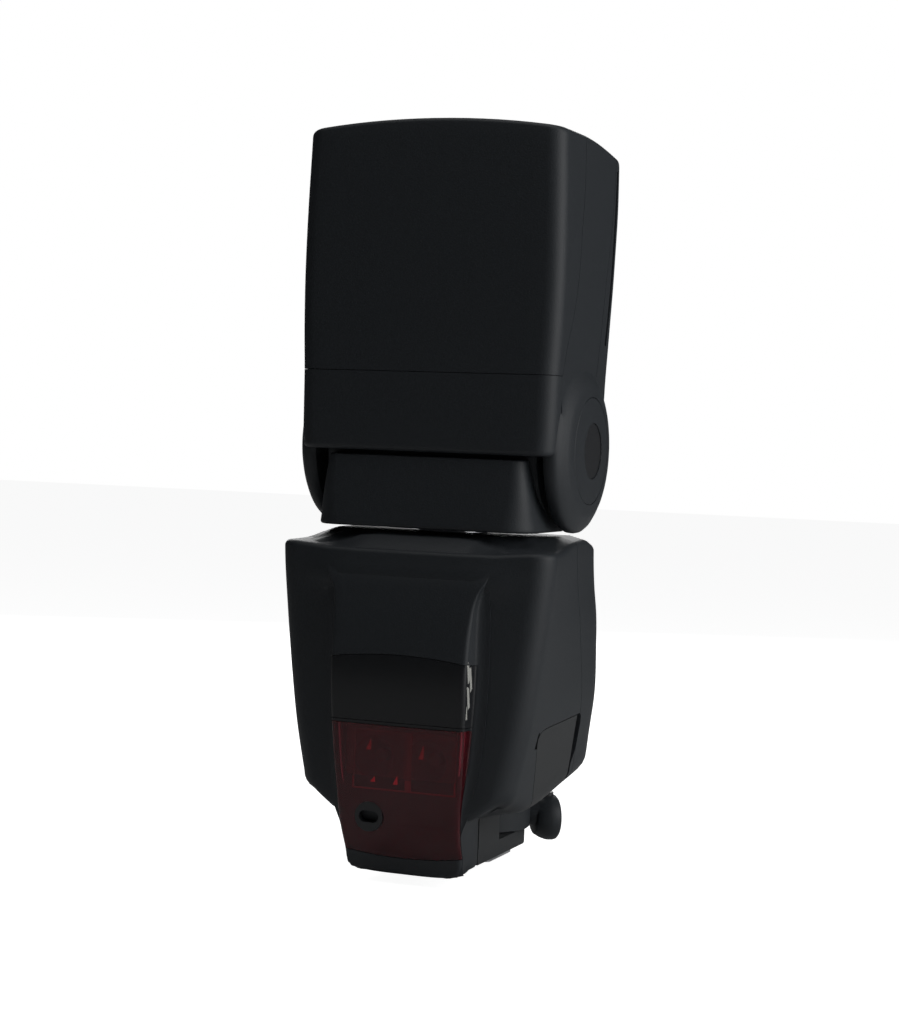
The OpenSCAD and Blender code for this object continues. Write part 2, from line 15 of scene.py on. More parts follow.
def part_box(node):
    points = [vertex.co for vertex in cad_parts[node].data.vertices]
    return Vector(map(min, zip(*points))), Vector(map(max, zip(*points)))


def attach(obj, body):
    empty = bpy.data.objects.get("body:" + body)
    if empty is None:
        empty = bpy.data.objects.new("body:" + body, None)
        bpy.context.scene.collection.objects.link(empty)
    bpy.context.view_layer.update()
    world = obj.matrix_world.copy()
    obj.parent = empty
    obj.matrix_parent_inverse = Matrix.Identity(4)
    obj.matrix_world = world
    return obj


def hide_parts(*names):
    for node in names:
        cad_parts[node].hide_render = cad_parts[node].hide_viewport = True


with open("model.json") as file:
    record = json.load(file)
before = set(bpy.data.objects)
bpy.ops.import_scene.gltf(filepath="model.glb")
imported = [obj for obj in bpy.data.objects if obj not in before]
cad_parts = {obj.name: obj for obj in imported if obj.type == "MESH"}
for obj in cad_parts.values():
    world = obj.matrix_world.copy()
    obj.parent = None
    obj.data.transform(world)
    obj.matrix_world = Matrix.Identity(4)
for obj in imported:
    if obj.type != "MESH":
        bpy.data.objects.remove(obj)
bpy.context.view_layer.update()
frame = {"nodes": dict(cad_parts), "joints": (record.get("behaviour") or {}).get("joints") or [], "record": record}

MM = 0.001
SEAM = 0.16  # width of the parting lines between case pieces
SAMPLES = 121  # levels at which a tower's section is worked out
joints = {j["name"]: j for j in frame["joints"]}


def pivot(joint):
    """Place of a hinge joint."""
    return tuple(c / MM for c in joints[joint]["pos_m"])


FOOT = (0.0, 0.0, 0.0)
HINGE = pivot("head_tilt")  # neck and head pieces are measured from the tilt axis
BODY = (0.0, pivot("head_swivel")[1], 0.0)  # body pieces: Y is measured from the swivel axis


def span(node):
    """Lowest and highest corner of a CAD node, measured like the body pieces."""
    return [np.array(corner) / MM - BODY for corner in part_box(node)]


def middle(node):
    """Middle of a CAD node as x and z, with y left at 0."""
    low, high = span(node)
    return ((low[0] + high[0]) / 2, 0, (low[2] + high[2]) / 2)


# ---------------------------------------------------------------- meshes
def store(name, verts, faces, at=FOOT, smooth=32):
    """New mesh object from vertices measured from at."""
    me = bpy.data.meshes.new(name)
    me.from_pydata([tuple((np.array(v) + at) * MM) for v in verts], [], [tuple(f) for f in faces])
    me.validate()
    o = bpy.data.objects.new(name, me)
    bpy.context.scene.collection.objects.link(o)
    if len(faces) > 1:
        bm = bmesh.new()
        bm.from_mesh(me)
        bmesh.ops.recalc_face_normals(bm, faces=bm.faces)
        bm.to_mesh(me)
        bm.free()
    shade(o, smooth)
    return o


def shade(o, angle=32):
    """Smooth shading with sharp edges above an angle."""
    for p in o.data.polygons:
        p.use_smooth = True
    o.data.set_sharp_from_angle(angle=math.radians(angle))


def bake(o):
    """Replaces a piece's mesh by the result of its modifiers."""
    dg = bpy.context.evaluated_depsgraph_get()
    me = bpy.data.meshes.new_from_object(o.evaluated_get(dg))
    o.modifiers.clear()
    o.data = me
    shade(o)


def cut(a, b, op="DIFFERENCE"):
    """Takes b out of a. Uses b up, as join and both do."""
    m = a.modifiers.new("cut", "BOOLEAN")
    m.operation = op
    m.solver = "MANIFOLD"
    m.object = b
    bake(a)
    bpy.data.objects.remove(b)


def join(a, b):
    cut(a, b, "UNION")


def both(a, b):
    cut(a, b, "INTERSECT")


def copy(o, name):
    c = o.copy()
    c.data = o.data.copy()
    c.name = name
    bpy.context.scene.collection.objects.link(c)
    return c


def bevel(o, width, segments=2, angle=35):
    """Rounds a piece's edges without changing its own vertices."""
    m = o.modifiers.new("bevel", "BEVEL")
    m.width = width * MM
    m.segments = segments
    m.limit_method = "ANGLE"
    m.angle_limit = math.radians(angle)
    m.harden_normals = False


def spline(points, steps=8):
    """Smooth curve through 2-D points."""
    p = [np.array(q, float) for q in points]
    p = [2 * p[0] - p[1]] + p + [2 * p[-1] - p[-2]]
    out = []
    for a, b, c, d in zip(p, p[1:], p[2:], p[3:]):
        for k in range(steps):
            t = k / steps
            curved = (2 * a - 5 * b + 4 * c - d) * t * t + (3 * b - a - 3 * c + d) * t**3
            out.append(0.5 * (2 * b + (c - a) * t + curved))
    out.append(p[-2])
    return [tuple(q) for q in out]


def prism(name, outline, axis, lo, hi, at=FOOT):
    """2-D outline swept along an axis: X takes (y, z), Y takes (x, z), Z takes (x, y)."""
    def place(p, h):
        return {"X": (h, p[0], p[1]), "Y": (p[0], h, p[1]), "Z": (p[0], p[1], h)}[axis]
    n = len(outline)
    area = sum(p[0] * q[1] - q[0] * p[1] for p, q in zip(outline, outline[1:] + outline[:1]))
    ring = outline if (area > 0) != (axis == "Y") else outline[::-1]
    verts = [place(p, lo) for p in ring] + [place(p, hi) for p in ring]
    faces = [[i, (i + 1) % n, n + (i + 1) % n, n + i] for i in range(n)]
    faces += [list(range(n))[::-1], list(range(n, 2 * n))]
    return store(name, verts, faces, at)


def box(name, x0, x1, y0, y1, z0, z1, at=FOOT):
    return prism(name, [(x0, y0), (x1, y0), (x1, y1), (x0, y1)], "Z", z0, z1, at)


def lathe(name, profile, axis, at=FOOT, n=96, centre=(0, 0, 0)):
    """Closed profile of (radius, height) turned about an axis through centre; ends on the axis close it."""
    def place(r, h, a):
        c, s = r * math.cos(a), r * math.sin(a)
        p = {"X": (h, c, s), "Y": (s, h, c), "Z": (c, s, h)}[axis]
        return tuple(np.array(p) + centre)
    verts, rings = [], []
    for r, h in profile:
        if r < 1e-6:
            rings.append([len(verts)])
            verts.append(place(0, h, 0))
        else:
            rings.append(list(range(len(verts), len(verts) + n)))
            verts += [place(r, h, 2 * math.pi * k / n) for k in range(n)]
    faces = []
    pairs = list(zip(rings, rings[1:]))
    if len(rings[0]) > 1 or len(rings[-1]) > 1:
        pairs.append((rings[-1], rings[0]))
    for a, b in pairs:
        for k in range(n):
            i, j = k, (k + 1) % n
            if len(a) == 1 and len(b) == 1:
                continue
            if len(a) == 1:
                faces.append([a[0], b[j], b[i]])
            elif len(b) == 1:
                faces.append([a[i], a[j], b[0]])
            else:
                faces.append([a[i], a[j], b[j], b[i]])
    return store(name, verts, faces, at)


def rod(name, r, lo, hi, axis, at, n=96, centre=(0, 0, 0)):
    """Plain cylinder between two heights."""
    return lathe(name, [(0, lo), (r, lo), (r, hi), (0, hi)], axis, at, n, centre)


def arc(cx, cy, r, a0, a1, n):
    turns = [math.radians(a0 + (a1 - a0) * k / n) for k in range(n + 1)]
    return [(cx + r * math.cos(t), cy + r * math.sin(t)) for t in turns]


def line(p, q, n):
    """Points from p to q, without its ends."""
    return [(p[0] + (q[0] - p[0]) * k / n, p[1] + (q[1] - p[1]) * k / n) for k in range(1, n)]


def ring_of(corners, corner, side):
    """Closed outline from four corners (x, y, radius, first angle), with straight sides between them."""
    arcs = [arc(cx, cy, r, a, a + 90, corner) for cx, cy, r, a in corners]
    out = []
    for k in range(4):
        out += arcs[k] + line(arcs[k][-1], arcs[(k + 1) % 4][0], side)
    return out


def round_rect(x0, x1, y0, y1, r_low, r_high, corner=10, side=10):
    """Rounded rectangle, anticlockwise from the low X, low Y corner."""
    corners = [(x0 + r_low, y0 + r_low, r_low, 180), (x1 - r_low, y0 + r_low, r_low, 270),
               (x1 - r_high, y1 - r_high, r_high, 0), (x0 + r_high, y1 - r_high, r_high, 90)]
    return ring_of(corners, corner, side)


def curve(table):
    """Smooth function through (position, value) pairs."""
    xs = np.array([t[0] for t in table], float)
    ys = np.array([t[1] for t in table], float)
    slope = np.gradient(ys, xs)

    def f(x):
        x = np.clip(np.asarray(x, float), xs[0], xs[-1])
        k = np.clip(np.searchsorted(xs, x) - 1, 0, len(xs) - 2)
        h = xs[k + 1] - xs[k]
        t = (x - xs[k]) / h
        return ((2 * t**3 - 3 * t**2 + 1) * ys[k] + (t**3 - 2 * t**2 + t) * h * slope[k]
                + (3 * t**2 - 2 * t**3) * ys[k + 1] + (t**3 - t**2) * h * slope[k + 1])
    return f


def flat(value):
    """Level surface, or the same radius all round."""
    return lambda xy, nm=None: np.full(len(xy), float(value))


def step(t):
    """Smooth rise from 0 to 1."""
    t = np.clip(t, 0, 1)
    return t * t * (3 - 2 * t)


def tower(name, section, z_range, z_lo, z_hi, r_lo, r_hi, at, rows=26, arcs=6, caps=9, centre=(0, 0)):
    """Closed solid whose level sections are section(z), between surfaces z_lo and z_hi, with rounded rims."""
    zs = np.linspace(z_range[0], z_range[1], SAMPLES)
    table = np.array([section(z) for z in zs])
    n = table.shape[1]
    tangent = np.roll(table, -1, 1) - np.roll(table, 1, 1)
    normal = np.stack([tangent[..., 1], -tangent[..., 0]], -1)
    normal /= np.maximum(np.linalg.norm(normal, axis=-1, keepdims=True), 1e-9)
    cols = np.arange(n)
    c = np.array(centre, float)

    def sample(data, z):
        f = np.clip((z - zs[0]) / (zs[-1] - zs[0]) * (SAMPLES - 1), 0, SAMPLES - 1)
        k = np.minimum(f.astype(int), SAMPLES - 2)
        t = (f - k)[:, None]
        return data[k, cols] * (1 - t) + data[k + 1, cols] * t

    def rim(surface, radius, start):
        """Radius of the rounded edge, and the height at which it meets the end surface."""
        z = np.full(n, float(start))
        for _ in range(4):
            xy, nm = sample(table, z), sample(normal, z)
            r = radius(xy, nm)
            z = surface(xy - nm * r[:, None])
        return r, z

    def edge_ring(z_side, r, z, t):
        """Ring on a rounded edge that starts at height z_side; t is 0 there and a quarter turn at the end."""
        inset = (r * (1 - math.cos(t)))[:, None]
        return np.column_stack([sample(table, z_side) - sample(normal, z_side) * inset, z])

    def cap(ring, surface):
        """Rings from an end's edge inwards, and its middle point."""
        out = []
        for k in range(caps - 1, 0, -1):
            xy = c + (ring[:, :2] - c) * (k / caps)
            out.append(np.column_stack([xy, surface(xy)]))
        return out, np.array([*c, float(surface(c[None])[0])])

    rl, zl = rim(z_lo, r_lo, z_range[0])
    rh, zh = rim(z_hi, r_hi, z_range[1])
    side_lo, side_hi = zl + rl, zh - rh
    rings = []
    for k in range(arcs + 1):
        t = math.pi / 2 * (1 - k / arcs)
        rings.append(edge_ring(side_lo, rl, zl + rl * (1 - math.sin(t)), t))
    for k in range(1, rows):
        z = side_lo + (side_hi - side_lo) * k / rows
        rings.append(np.column_stack([sample(table, z), z]))
    for k in range(arcs + 1):
        t = math.pi / 2 * k / arcs
        rings.append(edge_ring(side_hi, rh, zh - rh * (1 - math.sin(t)), t))

    low, low_mid = cap(rings[0], z_lo)
    high, high_mid = cap(rings[-1], z_hi)
    rings = low[::-1] + rings + high
    verts = [low_mid] + [p for r in rings for p in r] + [high_mid]
    faces = []
    for k in range(len(rings) - 1):
        for i in range(n):
            j = (i + 1) % n
            a, b = 1 + k * n, 1 + (k + 1) * n
            faces.append([a + i, a + j, b + j, b + i])
    last_ring = 1 + (len(rings) - 1) * n
    for i in range(n):
        j = (i + 1) % n
        faces.append([0, 1 + j, 1 + i])
        faces.append([last_ring + i, last_ring + j, len(verts) - 1])
    return store(name, verts, faces, at)


# ---------------------------------------------------------------- materials
PAINTED_WINDOW_GLOW = (1, 0.03, 0.08, 1)  # painted glow: emission colour standing in for the light that reaches the parts behind the red window


def material(name, colour, rough=0.5, metal=0.0, grain=0.0, size=900.0, coat=0.0, see=0.0, ior=1.46,
             bump=0.15, mottle=0.06, painted_glow=0.0):
    """Procedural finish: noise varies the colour by mottle, and dents the surface by grain millimetres."""
    mat = bpy.data.materials.new(name)
    mat.use_nodes = True
    tree = mat.node_tree
    bsdf = tree.nodes["Principled BSDF"]
    coords = tree.nodes.new("ShaderNodeTexCoord")
    noise = tree.nodes.new("ShaderNodeTexNoise")
    noise.inputs["Scale"].default_value = size
    noise.inputs["Detail"].default_value = 3
    tree.links.new(coords.outputs["Object"], noise.inputs["Vector"])
    mix = tree.nodes.new("ShaderNodeMixRGB")
    mix.inputs["Color1"].default_value = (*[c * (1 - mottle) for c in colour], 1)
    mix.inputs["Color2"].default_value = (*[min(1, c * (1 + mottle)) for c in colour], 1)
    tree.links.new(noise.outputs["Fac"], mix.inputs["Fac"])
    tree.links.new(mix.outputs["Color"], bsdf.inputs["Base Color"])
    bsdf.inputs["Roughness"].default_value = rough
    bsdf.inputs["Metallic"].default_value = metal
    bsdf.inputs["IOR"].default_value = ior
    bsdf.inputs["Coat Weight"].default_value = coat
    bsdf.inputs["Coat Roughness"].default_value = 0.05
    bsdf.inputs["Transmission Weight"].default_value = see
    # painted glow: an emission that stands in for light, used on the parts behind the red window
    if painted_glow:
        bsdf.inputs["Emission Color"].default_value = PAINTED_WINDOW_GLOW
        bsdf.inputs["Emission Strength"].default_value = painted_glow
    if grain:
        bumper = tree.nodes.new("ShaderNodeBump")
        bumper.inputs["Strength"].default_value = bump
        bumper.inputs["Distance"].default_value = grain * MM
        tree.links.new(noise.outputs["Fac"], bumper.inputs["Height"])
        tree.links.new(bumper.outputs["Normal"], bsdf.inputs["Normal"])
    return mat


FINISHES = {
    "black_plastic": dict(colour=(0.016, 0.0195, 0.0235), rough=0.58, grain=0.12, size=2600, bump=0.35),
    "fitting_plastic": dict(colour=(0.02, 0.021, 0.023), rough=0.42, grain=0.05, size=2000),
    "key_plastic": dict(colour=(0.035, 0.037, 0.04), rough=0.4, grain=0.05, size=2000),
    "pilot_red": dict(colour=(0.35, 0.03, 0.02), rough=0.25, coat=0.4),
    "smoked_plastic": dict(colour=(0.006, 0.007, 0.009), rough=0.4),
    "red_window": dict(colour=(0.3, 0.03, 0.05), rough=0.05, see=0.88, ior=1.4),
    "red_plastic": dict(colour=(0.35, 0.02, 0.03), rough=0.3, grain=0.1, size=700),
    "lcd_glass": dict(colour=(0.75, 0.8, 0.75), rough=0.03, see=0.95, ior=1.45),
    "lcd_cell": dict(colour=(0.33, 0.37, 0.29), rough=0.3),
    "board": dict(colour=(0.03, 0.16, 0.06), rough=0.4),
    "capacitor_sleeve": dict(colour=(0.02, 0.02, 0.03), rough=0.25),
    "cell_metal": dict(colour=(0.55, 0.56, 0.58), rough=0.3, metal=0.8),
    "steel": dict(colour=(0.62, 0.63, 0.65), rough=0.28, metal=1.0),
    "foot_metal": dict(colour=(0.66, 0.67, 0.69), rough=0.3, metal=1.0, grain=0.05, size=1500),
    "contact_brass": dict(colour=(0.8, 0.6, 0.22), rough=0.22, metal=1.0),
    "rubber_black": dict(colour=(0.022, 0.024, 0.026), rough=0.6, grain=0.1, size=1800),
    "lens_plastic": dict(colour=(0.92, 0.95, 0.97), rough=0.05, see=0.9, ior=1.49),
    "reflector_metal": dict(colour=(0.9, 0.91, 0.92), rough=0.1, metal=1.0),
    "tube_glass": dict(colour=(0.92, 0.94, 0.95), rough=0.03, see=0.9),
    "white_panel": dict(colour=(0.82, 0.82, 0.8), rough=0.5),
    # painted glint: pale facets standing in for the sparkle of the window's clear side strips
    "facet_painted_glint": dict(colour=(0.45, 0.45, 0.42), rough=0.15, coat=0.6),
    # painted glow: the wedges and the frame behind the red window emit red instead of catching light through it
    "window_painted_glow": dict(colour=(0.6, 0.02, 0.04), rough=0.4, painted_glow=0.2),
    "window_frame_painted_glow": dict(colour=(0.12, 0.01, 0.015), rough=0.4, painted_glow=0.04),
}
M = {name: material(name, **finish) for name, finish in FINISHES.items()}


def dress(o, slot, body, stands_for=(), look=None):
    """Paints a new piece, puts it on its body and hides the CAD nodes it stands for."""
    o.data.materials.clear()
    o.data.materials.append(M[look or slot])
    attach(o, body)
    if stands_for:
        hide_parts(*stands_for)
    return o


# ---------------------------------------------------------------- head, measured from the tilt axis
HEAD_FRONT = -25  # plane of the large face
HEAD_WALL = 1.8
MOUTH_HALF = 29.8  # half width of the opening for the lens end
SIDE_GROOVE = 33.55  # bottom of the rear strip's long grooves, from the centre plane
TAB_R = 13.75
SEAT_R = 13.95
PIN_BORE = 5.0
EAR_INNER = 31.2  # inner face of an ear, from the centre plane
TAB_SEAT = 36.15  # floor of the round recess that takes a hinge tab
BUTTON_BORE = 7.27
SWEEP_R = 20.1  # room that the neck's barrel turns in

head_hw = curve([(-4, 33.8), (0, 34.5), (8, 34.8), (18.6, 35.0), (28, 35.4), (42, 35.7), (60, 35.5),
                 (76, 35.0), (90, 34.6)])
head_back = curve([(-4, 19.8), (18, 20), (32, 20.3), (50, 22.2), (66, 24.4), (76, 25.0), (90, 25.2)])
cover_line = spline([(-18.9, 18.6), (-18.2, 20.6), (-16.6, 26.5), (-13.5, 33.7), (-10.7, 43.5), (-9, 56.6),
                     (-7, 70), (-6.2, 96)], 6)
strip_line = spline([(21.5, 96), (19.8, 77), (16.9, 61), (12.1, 42), (10.2, 27), (9.2, 20), (6.5, 15.6),
                     (2, 13.7)], 6)
strip_groove = [(21.9, 74.4), (21.2, 75), (20.5, 74.4), (14.2, 28.4), (14.7, 27.6), (15.5, 28)]
ear_outline = [(-18.6, 5), (9, 5), (6.4, 15.5), (9.1, 20), (10.2, 27), (10, 40), (-13.6, 40), (-16.7, 26.5),
               (-18.3, 20.6)]


def head_section(g):
    def f(z):
        w = float(head_hw(z)) - g
        back = float(head_back(z)) - g
        return round_rect(-w, w, HEAD_FRONT + g, back, max(4.5 - g, 1.5), max(3 - g, 1), 10, 14)
    return f


def head_top(g):
    """Upper rim: crowned across the head, with a further swell around its middle."""
    def f(xy):
        x, y = xy[:, 0] / 34, xy[:, 1]
        edge = 80.3 + 2.4 * (1 - x**2) - 0.0022 * np.maximum(y + 8, 0) ** 2
        return edge + 2.6 * (1 - x**4) * np.cos(np.clip((y + 1) / 27, -1, 1) * math.pi / 2) ** 2 - g
    return f


def head_tower(name, g):
    r_hi = lambda xy, nm: np.maximum(1.1 + 5.2 * step(nm[:, 1]) + 0.8 * np.abs(nm[:, 0]) - g, 0.3)
    r_lo = flat(max(1.4 - g, 0.3))
    return tower(name, head_section(g), (-3, 90), flat(-1.7 + g), head_top(g), r_lo, r_hi, HINGE)


def zone_front(gap):
    """Side outline of what lies before the cover's parting line, moved by gap."""
    start = [(-60, 96), (-60, 18.6 + gap)]
    return start + [(y - gap, z + (gap if k == 0 else 0)) for k, (y, z) in enumerate(cover_line)]


def zone_back(gap):
    """Side outline of what lies behind the rear strip's parting line, moved by gap."""
    return [(60, 13.7 + gap), (60, 96)] + [(y + gap, z + gap * 0.6) for y, z in strip_line]


def ear_profile(skirt):
    """Outer face of an ear as (radius, distance from the centre plane), from the middle out."""
    face = [(0, 38.1), (4, 38.05), (8, 37.85), (11, 37.62), (13.8, 37.4), (15.6, 37.22), (17.0, 36.98),
            (17.6, 36.75), (19.2, 35.95), (20.6, 35.1)]
    if skirt:
        return face + [(22.2, 34.9), (24.5, 34.8), (27, 34.6), (27, 33), (0, 33)]
    return face + [(21.3, 34.3), (21.5, 33.4), (21.4, 32.2), (20.8, 31.3), (20.4, EAR_INNER), (0, EAR_INNER)]


def turned_ear(name, side, skirt):
    return lathe(name, [(r, side * x) for r, x in ear_profile(skirt)], "X", HINGE)


def make_head_shell():
    shell = head_tower("shell", 0)
    cut(shell, head_tower("inner", HEAD_WALL))
    cut(shell, box("mouth", -MOUTH_HALF, MOUTH_HALF, -23.1, 20.4, 66, 99, HINGE))
    return shell


def make_top_cover(shell):
    cover = copy(shell, "head_top_cover_shell")
    both(cover, prism("zone", zone_front(SEAM / 2), "X", -60, 60, HINGE))
    dress(cover, "black_plastic", "head", ["head_top_cover"])


def make_hinge_tab(side):
    """Round end of the rear strip, set into an ear. The right one has the bore for the release button."""
    back = side * (TAB_SEAT + 0.05)
    rim = [(0, back), (TAB_R, back)]
    tab = lathe("tab", rim + [(r, side * x) for r, x in ear_profile(False)[4::-1]], "X", HINGE)
    if side > 0:
        cut(tab, rod("bore", BUTTON_BORE, 30, 40, "X", HINGE))
    dress(tab, "black_plastic", "head")
    tab.name = "hinge_tab_" + ("right" if side > 0 else "left")
    bevel(tab, 0.18)


def make_bottom_cover(shell):
    """Rear strip with its long side grooves and the round hinge tabs."""
    cover = copy(shell, "head_bottom_cover_shell")
    both(cover, prism("zone", zone_back(SEAM / 2), "X", -60, 60, HINGE))
    cut(cover, rod("room", 14.05, -45, 45, "X", HINGE))
    cut(cover, prism("low", [(0, -10), (60, -10), (60, 13.4), (0, 13.4)], "X", -60, 60, HINGE))
    for side in (-1, 1):
        x0, x1 = sorted((side * SIDE_GROOVE, side * 45))
        cut(cover, prism("groove", strip_groove, "X", x0, x1, HINGE))
    for side in (-1, 1):
        make_hinge_tab(side)
    dress(cover, "black_plastic", "head", ["head_bottom_cover"])


def make_head_case(case):
    """Main case: band under the cross seam, side walls and ears. Uses up the head's shell."""
    case.name = "head_case_shell"
    cut(case, prism("zone", zone_front(-SEAM / 2), "X", -60, 60, HINGE))
    cut(case, prism("zone", zone_back(-SEAM / 2), "X", -60, 60, HINGE))
    for side in (-1, 1):
        skirt = turned_ear("skirt", side, True)
        x0, x1 = sorted((side * 30, side * 45))
        both(skirt, prism("half", ear_outline, "X", x0, x1, HINGE))
        join(case, skirt)
    bulk = rod("bulk", 21.6, -33.2, 33.2, "X", HINGE)
    both(bulk, box("up", -40, 40, -23.5, 18.4, -0.4, 30, HINGE))
    join(case, bulk)
    cut(case, rod("sweep", SWEEP_R, -EAR_INNER, EAR_INNER, "X", HINGE))
    cut(case, box("under", -EAR_INNER, EAR_INNER, 0, 30, -10, 6.2, HINGE))
    for side in (-1, 1):
        join(case, turned_ear("ear", side, False))
    for side in (-1, 1):
        x0, x1 = sorted((side * TAB_SEAT, side * 45))
        cut(case, rod("seat", SEAT_R, x0, x1, "X", HINGE))
    cut(case, rod("bore", BUTTON_BORE, 33.1, 40, "X", HINGE))
    for side in (-1, 1):
        x0, x1 = sorted((side * 30, side * 33.4))
        cut(case, rod("pin", PIN_BORE, x0, x1, "X", HINGE))
    dress(case, "black_plastic", "head", ["head_case"])


head_shell = make_head_shell()
make_top_cover(head_shell)
make_bottom_cover(head_shell)
make_head_case(head_shell)

# ---------------------------------------------------------------- neck, measured from the tilt axis
NECK_LOW = -21.3
NECK_HIGH = -2.9
BARREL_R = 19.2
BARREL_HALF = 28.9

neck_hw = curve([(-22, 29.9), (-19, 29.3), (-12, 28.3), (-2.5, 26.9)])
neck_front = curve([(-22, -25.9), (-2.5, -23.7)])
neck_round = curve([(-22, 8), (-14, 5.2), (-2.5, 3.2)])


def neck_section(z):
    w = float(neck_hw(z))
    return round_rect(-w, w, float(neck_front(z)), 17, float(neck_round(z)), 6, 10, 10)


def make_neck():
    neck = tower("neck_shell", neck_section, (-21.4, -2.5), flat(NECK_LOW), flat(NECK_HIGH),
                 flat(0.7), flat(0.5), HINGE)
    r, half = BARREL_R, BARREL_HALF
    barrel = lathe("barrel", [(0, -half), (r - 0.6, -half), (r, 0.6 - half), (r, half - 0.6), (r - 0.6, half),
                              (0, half)], "X", HINGE)
    both(barrel, box("above", -40, 40, -40, 40, -21.2, 30, HINGE))
    room = box("room", -40, 40, 3.2, 40, -26, 10, HINGE)
    cut(room, rod("round", r - 0.1, -50, 50, "X", HINGE))
    cut(neck, room)
    join(neck, barrel)
    cut(neck, rod("hollow", 16, -24, 24, "X", HINGE))
    cut(neck, rod("bore", 7.2, -30, -12, "Z", HINGE))
    cut(neck, rod("pins", 4.95, -30, 30, "X", HINGE))
    dress(neck, "black_plastic", "neck", ["neck_block"])


make_neck()

# ---------------------------------------------------------------- body, measured from the swivel axis
HALF_DEPTH = 30.5
BODY_WALL = 2
COLUMN_WALL = 2.1
COLUMN_BACK = -20  # the column is joined to the body in front of this plane
WING_PLANE = -30.52  # front of the wings, where the column's fillets start

wing = curve([(10, 25.6), (19, 27.6), (28.3, 29.7), (37.8, 31.7), (53.6, 34), (69.4, 35.8), (82, 37),
              (92, 37.4)])
wing_rear = curve([(10, 29), (19, 31), (28, 32.8), (37, 33.8), (47, 34.9), (60, 34.8), (68, 34.5), (76, 33.6),
                   (84, 33.1), (92, 33)])
column_hw = curve([(0, 15.6), (7, 16), (14, 16.3), (26, 17.3), (42, 18.2), (57, 18.5), (68, 18.8), (73, 19.2),
                   (76, 20), (78, 21.2), (84, 23)])
column_y = curve([(0, -26.4), (7, -27.8), (14, -31), (26, -33), (42, -34.9), (55, -35.8), (64, -35),
                  (74, -33), (79, -31.6), (84, -29)])


def body_section(g):
    """Level section of the wings: sharp corners in front, broad ones behind, and a brow over the column."""
    def f(z):
        front, rear = float(wing(z)) - g, float(wing_rear(z)) - g
        low, high = max(5.6 - g, 1), 13 - g
        y_low, y_high = g - HALF_DEPTH + low, HALF_DEPTH - g - high
        corners = [(-front + low, y_low, low, 180), (front - low, y_low, low, 270),
                   (rear - high, y_high, high, 0), (-rear + high, y_high, high, 90)]
        brow = 1.25 * float(step((z - 74.5) / 3.5) * (1 - step((z - 79) / 5)))

        def shift(x):
            return 1.1 * float(step((abs(x) - 17) / 15)) - brow * (1 - float(step((abs(x) - 20) / 12)))
        return [(x, y + shift(x) if y < -22 else y) for x, y in ring_of(corners, 10, 14)]
    return f


def body_top(g):
    """Upper face: a flat pedestal around the swivel, a shoulder around it and a slope to the front edge."""
    def f(xy):
        x, y = np.abs(xy[:, 0]), xy[:, 1]
        dx, dy = np.maximum(x - 12, 0), np.maximum(np.abs(y) - 7, 0)
        d = np.hypot(dx, dy) - 18
        rear = 1.2 * step((y - 10) / 16)
        front = step((-y - 4) / 14) * (1 - 0.5 * step((x - 20) / 14))
        slope = front * (2.9 * step(d / 3.4) - 0.5 * step((d - 3.6) / 1.5))
        shoulder = 0.5 * step(d / 0.8) + 1.2 * step((d - 0.8) / 5)
        return 89.5 - rear - shoulder - slope - 0.4 * step((d - 3) / 12) - g
    return f


def body_bottom(g):
    """Lower face: rises to the rear and towards the wings' outer corners."""
    rise = curve([(-31, 16.4), (-20, 16.4), (-7, 17), (7, 19.7), (19, 22), (27, 24.5), (31, 26)])
    lift = curve([(0, 0), (15, 0.5), (18, 1.7), (21.7, 4.2), (24.5, 6.8), (26.6, 9.4), (28, 11.6), (30, 14)])

    def f(xy):
        side = 1 - 0.65 * step((xy[:, 1] + 26) / 14)
        return rise(xy[:, 1]) + lift(np.abs(xy[:, 0])) * side + g
    return f


def body_tower(name, g):
    r_lo = lambda xy, nm: np.maximum(2.2 + 3.4 * np.abs(nm[:, 0]) ** 1.5 + 5 * step(nm[:, 1]) - g, 0.4)
    r_hi = lambda xy, nm: np.maximum(1.5 + 0.8 * step(nm[:, 1]) - g, 0.4)
    return tower(name, body_section(g), (10, 92), body_bottom(g), body_top(g), r_lo, r_hi, BODY)


def column_section(z):
    """Level section of the centre column: rounded front edges, slanted sides, fillets towards the wings."""
    w, y = float(column_hw(z)), float(column_y(z))
    depth = WING_PLANE - y
    fillet = max(0.05, min(1.4, depth * 0.4)) * float(step((z - 12) / 8)) + 0.03
    edge = max(0.3, min(1.3, depth * 0.3)) if z > 40 else 1.3
    base = max(WING_PLANE, y + edge + fillet + 0.1)
    slant = 0.28 * max(base - fillet - y - edge, 0)
    wide = 2.4 * fillet
    wall = w + slant + wide
    turn = np.linspace(0, math.pi / 2, 7)
    right = [(wall, COLUMN_BACK), (wall, (base + COLUMN_BACK) / 2), (wall, base + 0.1)]
    right += [(wall - wide * math.sin(a), base - fillet + fillet * math.cos(a)) for a in turn]
    right += line((w + slant, base - fillet), (w, y + edge), 3)
    right += [(w - edge + edge * math.cos(a), y + edge - edge * math.sin(a)) for a in turn]
    front = line((w - edge, y), (edge - w, y), 16)
    left = [(-x, q) for x, q in right[::-1]]
    rear = line((-wall, COLUMN_BACK), (wall, COLUMN_BACK), 10)
    return (right + front + left + rear)[::-1]


def column_inner(g):
    def f(z):
        w, y = float(column_hw(z)) - g, float(column_y(z)) + g
        return round_rect(-w, w, y, COLUMN_BACK, 1.1, 0.5, 6, 12)
    return f


def column_tower(name, g):
    section = column_inner(g) if g else column_section
    bottom = lambda xy: 2.2 + 1.2 * step((-24.6 - xy[:, 1]) / 4) ** 2 + 1.2 * (xy[:, 0] / 16) ** 4 + g
    r_lo = lambda xy, nm: np.maximum(1.6 + 2.8 * np.abs(nm[:, 0]) - g, 0.3)
    return tower(name, section, (-2, 84), bottom, flat(83 - g), r_lo, flat(0.3), BODY, rows=72,
                 centre=(0, -25))


